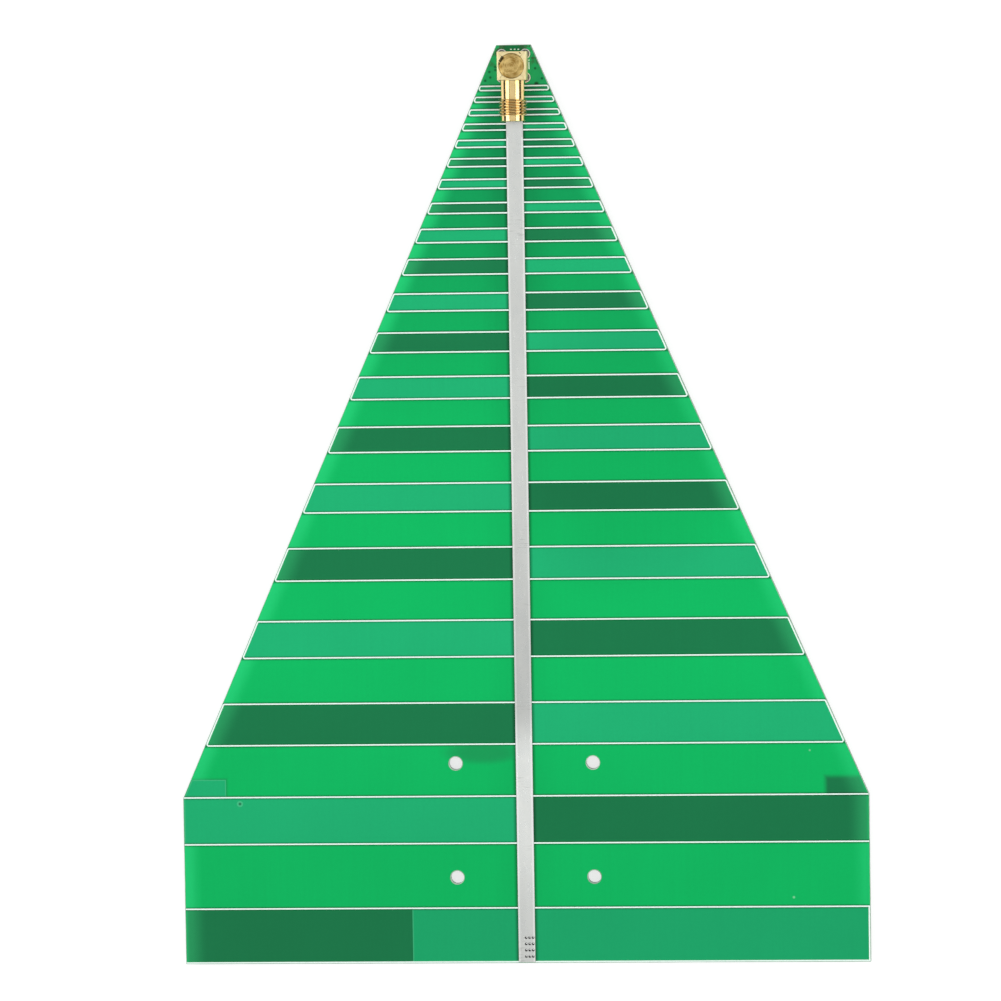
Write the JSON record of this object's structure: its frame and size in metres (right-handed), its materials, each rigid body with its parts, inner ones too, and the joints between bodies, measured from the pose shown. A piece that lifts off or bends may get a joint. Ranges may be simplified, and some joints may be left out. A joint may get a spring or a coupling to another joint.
{
  "type": "log periodic antenna board",
  "caption": "Fan-shaped circuit board with etched log-periodic dipoles, a bare feed line and a right-angle coaxial jack at its narrow tip.",
  "frame": {"origin": "middle of the four mounting holes, on the laminate's back face", "axes": "+X across the board, +Y along the board towards the narrow feed tip, +Z out of the component face"},
  "size_m": [0.15, 0.2, 0.0098],
  "materials": {
    "laminate": "glass-fibre laminate with routed edges",
    "copper": "etched copper foil under solder mask",
    "solder_mask": "green solder mask, satin",
    "legend_ink": "white screen-printed ink",
    "tin": "hot-levelled tin with fine scratches",
    "gold_plate": "polished gold plate",
    "cap_plate": "matte gold plate with turning marks",
    "insulator": "white fluoropolymer",
    "solder": "bright tin solder"
  },
  "bodies": {
    "root": {"laminate": "laminate", "front_copper": "copper", "back_copper": "copper", "front_solder_mask": "solder_mask", "back_solder_mask": "solder_mask", "front_legend": "legend_ink", "front_tinning": "tin", "back_tinning": "tin", "tail_vias": "copper", "tented_vias": "copper", "leg_hole_platings": "copper", "pin_hole_plating": "copper", "jack_body": "gold_plate", "jack_barrel": "gold_plate", "jack_cap": "cap_plate", "barrel_insulator": "insulator", "body_insulator": "insulator", "centre_contact": "gold_plate", "contact_pin": "gold_plate", "leg_solder": "solder", "pin_solder": "solder"}
  },
  "joints": []
}
